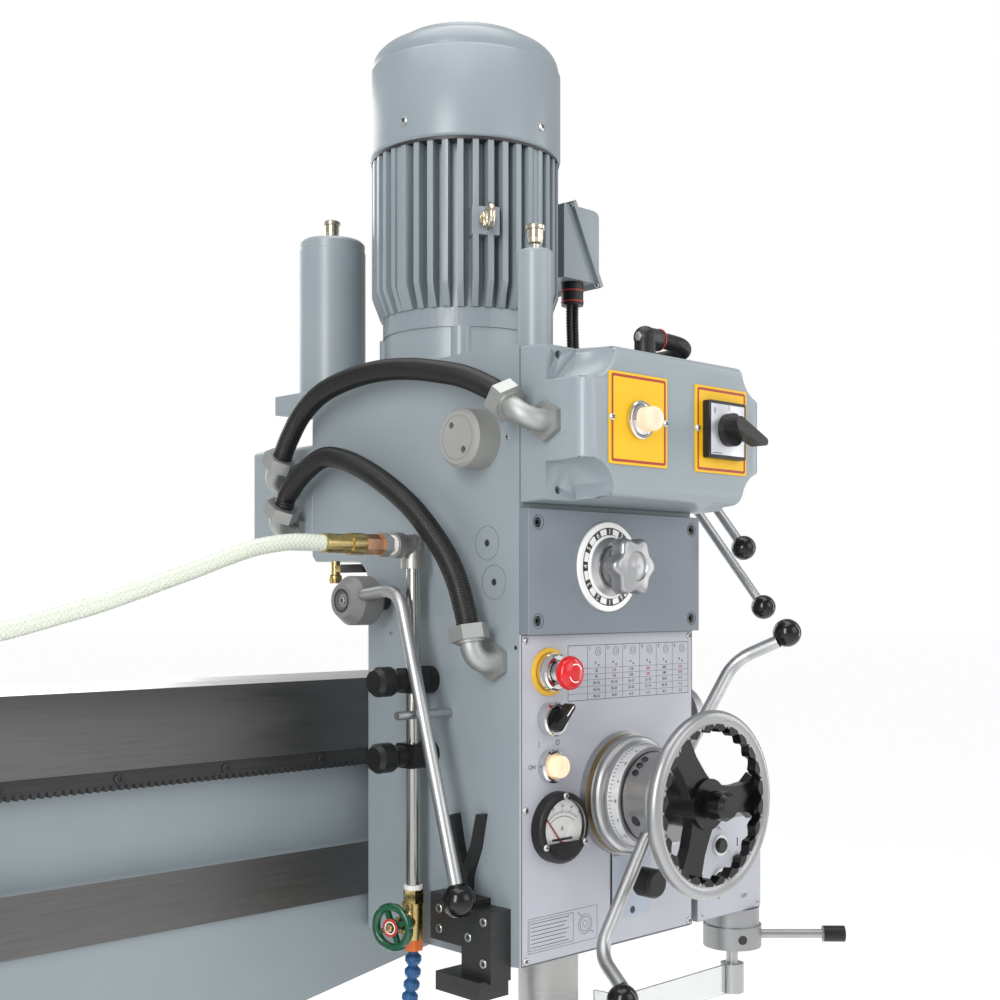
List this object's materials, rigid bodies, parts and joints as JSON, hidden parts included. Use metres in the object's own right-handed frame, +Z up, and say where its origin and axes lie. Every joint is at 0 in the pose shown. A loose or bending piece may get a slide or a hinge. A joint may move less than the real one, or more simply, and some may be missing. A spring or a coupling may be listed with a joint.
{
  "type": "radial arm drill",
  "caption": "Free-standing radial drilling machine: slotted base, round column with a turning, elevating arm and a geared head with quill feed, motor and controls.",
  "frame": {"origin": "on the column axis at floor level", "axes": "+X along the arm to its free end, -Y to the operator, +Z up"},
  "size_m": [1.6888, 0.94, 2.397],
  "materials": {
    "paint": "semi-gloss blue-grey machine enamel",
    "dark_paint": "satin darker blue-grey plate",
    "panel": "fine speckled light grey lacquer",
    "steel": "ground and turned steel",
    "chrome": "polished plated steel",
    "black_plastic": "satin black",
    "rubber": "matt black corrugated conduit",
    "brass": "turned brass",
    "yellow": "gloss yellow plate",
    "lamp": "milky lens",
    "red": "gloss red",
    "hose": "clear braided hose",
    "green": "gloss green",
    "blue": "satin blue",
    "clear": "clear shield on a steel post"
  },
  "bodies": {
    "base": {"base_plate": "paint", "column_post": "steel"},
    "column": {"column_sleeve": "steel", "lift_drive": "paint", "lift_screw": "steel"},
    "arm": {"arm_casting": "paint", "arm_rack": "steel", "hose_port": "brass"},
    "head": {"head_casting": "paint", "saddle_keepers": "paint", "control_panel": "panel", "speed_plate": "dark_paint", "control_box": "paint", "switch_plates": "yellow", "power_lamp": "lamp", "panel_rings": "steel", "ammeter": "black_plastic", "button_box": "paint", "motor_adapter": "paint", "motor_frame": "paint", "fan_cover": "paint", "terminal_box": "paint", "lifting_eye": "steel", "oil_reservoirs": "paint", "breathers": "brass", "motor_conduits": "rubber", "side_conduits": "rubber", "conduit_fittings": "steel", "junction_box": "paint", "side_fittings": "steel", "coolant_pipe": "steel", "coolant_fittings": "brass", "pipe_clamps": "black_plastic", "coolant_nozzle": "blue", "trip_block": "black_plastic", "coolant_hose": "hose"},
    "needle": {"ammeter_needle": "red"},
    "speed": {"speed_knob": "steel"},
    "estop": {"estop_button": "red"},
    "selector": {"coolant_selector": "black_plastic"},
    "start": {"start_button": "lamp"},
    "main_switch": {"main_switch": "black_plastic"},
    "feed": {"feed_hub": "steel", "feed_shaft": "steel", "feed_levers": "steel"},
    "wheel": {"handwheel": "chrome", "traverse_shaft": "steel"},
    "quill": {"quill": "steel"},
    "spindle": {"spindle": "steel"},
    "clutch": {"clutch_lever": "steel"},
    "shift_front": {"shift_lever_front": "steel"},
    "shift_rear": {"shift_lever_rear": "steel"},
    "feed_dial": {"feed_selector": "chrome"},
    "up": {"up_button": "black_plastic"},
    "down": {"down_button": "black_plastic"},
    "mode": {"mode_switch": "black_plastic"},
    "valve": {"valve_wheel": "green"},
    "trip_knob": {"feed_trip_knob": "black_plastic"},
    "ring": {"direction_ring": "steel"},
    "guard": {"chip_guard": "clear"}
  },
  "joints": [
    {"name": "arm_swing", "type": "hinge", "parent": "base", "child": "column", "pos_m": [0, 0, 1], "axis": [0, 0, 1], "range_deg": [-180, 180]},
    {"name": "arm_elevation", "type": "slide", "parent": "column", "child": "arm", "axis": [0, 0, 1], "range_m": [-0.45, 0.3]},
    {"name": "head_traverse", "type": "slide", "parent": "arm", "child": "head", "axis": [1, 0, 0], "range_m": [-0.52, 0.15], "deforming": ["coolant_hose"]},
    {"name": "quill_feed", "type": "slide", "parent": "head", "child": "quill", "axis": [0, 0, -1], "range_m": [0, 0.25]},
    {"name": "spindle_turn", "type": "hinge", "parent": "quill", "child": "spindle", "pos_m": [0.914, -0.299, 1.2], "axis": [0, 0, 1], "continuous": true},
    {"name": "feed_turn", "type": "hinge", "parent": "head", "child": "feed", "pos_m": [0.968, -0.37, 1.406], "axis": [0, -1, 0], "range_deg": [-5, 722]},
    {"name": "traverse_turn", "type": "hinge", "parent": "head", "child": "wheel", "pos_m": [0.968, -0.37, 1.406], "axis": [0, -1, 0], "range_deg": [-1160, 330]},
    {"name": "speed_turn", "type": "hinge", "parent": "head", "child": "speed", "pos_m": [0.928, -0.37, 1.684], "axis": [0, -1, 0], "range_deg": [-150, 150]},
    {"name": "estop_press", "type": "slide", "parent": "head", "child": "estop", "axis": [0, 1, 0], "range_m": [0, 0.006]},
    {"name": "selector_turn", "type": "hinge", "parent": "head", "child": "selector", "pos_m": [0.84, -0.37, 1.505], "axis": [0, -1, 0], "range_deg": [0, 90]},
    {"name": "start_press", "type": "slide", "parent": "head", "child": "start", "axis": [0, 1, 0], "range_m": [0, 0.003], "stiffness_N_per_m": 500},
    {"name": "main_turn", "type": "hinge", "parent": "head", "child": "main_switch", "pos_m": [1.033, -0.37, 1.849], "axis": [0, -1, 0], "range_deg": [0, 90]},
    {"name": "needle_turn", "type": "hinge", "parent": "head", "child": "needle", "pos_m": [0.852, -0.37, 1.357], "axis": [0, -1, 0], "range_deg": [-80, 0], "stiffness_Nm_per_rad": 0.00002},
    {"name": "clutch_swing", "type": "hinge", "parent": "head", "child": "clutch", "pos_m": [0.75, -0.125, 1.643], "axis": [-1, 0, 0], "range_deg": [0, 14]},
    {"name": "shift_front_turn", "type": "hinge", "parent": "head", "child": "shift_front", "pos_m": [1.15, -0.308, 1.834], "axis": [1, 0, 0], "range_deg": [-15, 15]},
    {"name": "shift_rear_turn", "type": "hinge", "parent": "head", "child": "shift_rear", "pos_m": [1.15, -0.252, 1.834], "axis": [1, 0, 0], "range_deg": [-15, 15]},
    {"name": "feed_select_turn", "type": "hinge", "parent": "head", "child": "feed_dial", "pos_m": [1.13, -0.32, 1.485], "axis": [1, 0, 0], "range_deg": [-120, 120]},
    {"name": "up_press", "type": "slide", "parent": "head", "child": "up", "axis": [0, 1, 0], "range_m": [0, 0.003], "stiffness_N_per_m": 500},
    {"name": "down_press", "type": "slide", "parent": "head", "child": "down", "axis": [0, 1, 0], "range_m": [0, 0.003], "stiffness_N_per_m": 500},
    {"name": "mode_turn", "type": "hinge", "parent": "head", "child": "mode", "pos_m": [1.207, -0.37, 1.288], "axis": [0, -1, 0], "range_deg": [-45, 45]},
    {"name": "valve_turn", "type": "hinge", "parent": "head", "child": "valve", "pos_m": [0.766, -0.214, 1.254], "axis": [-0.9659, -0.2588, 0], "range_deg": [0, 720]},
    {"name": "trip_turn", "type": "hinge", "parent": "head", "child": "trip_knob", "pos_m": [0.984, -0.37, 1.297], "axis": [0, -1, 0], "range_deg": [-60, 60]},
    {"name": "ring_turn", "type": "hinge", "parent": "head", "child": "ring", "pos_m": [1.239, -0.338, 1.18], "axis": [0, 0, 1], "range_deg": [-30, 30]},
    {"name": "guard_swing", "type": "hinge", "parent": "head", "child": "guard", "pos_m": [1.239, -0.338, 1.15], "axis": [0, 0, 1], "range_deg": [0, 100]}
  ],
  "couplings": [
    {"joint": "feed_turn", "follows": "quill_feed", "rad_per_m": 50},
    {"joint": "traverse_turn", "follows": "head_traverse", "rad_per_m": 37.037}
  ]
}
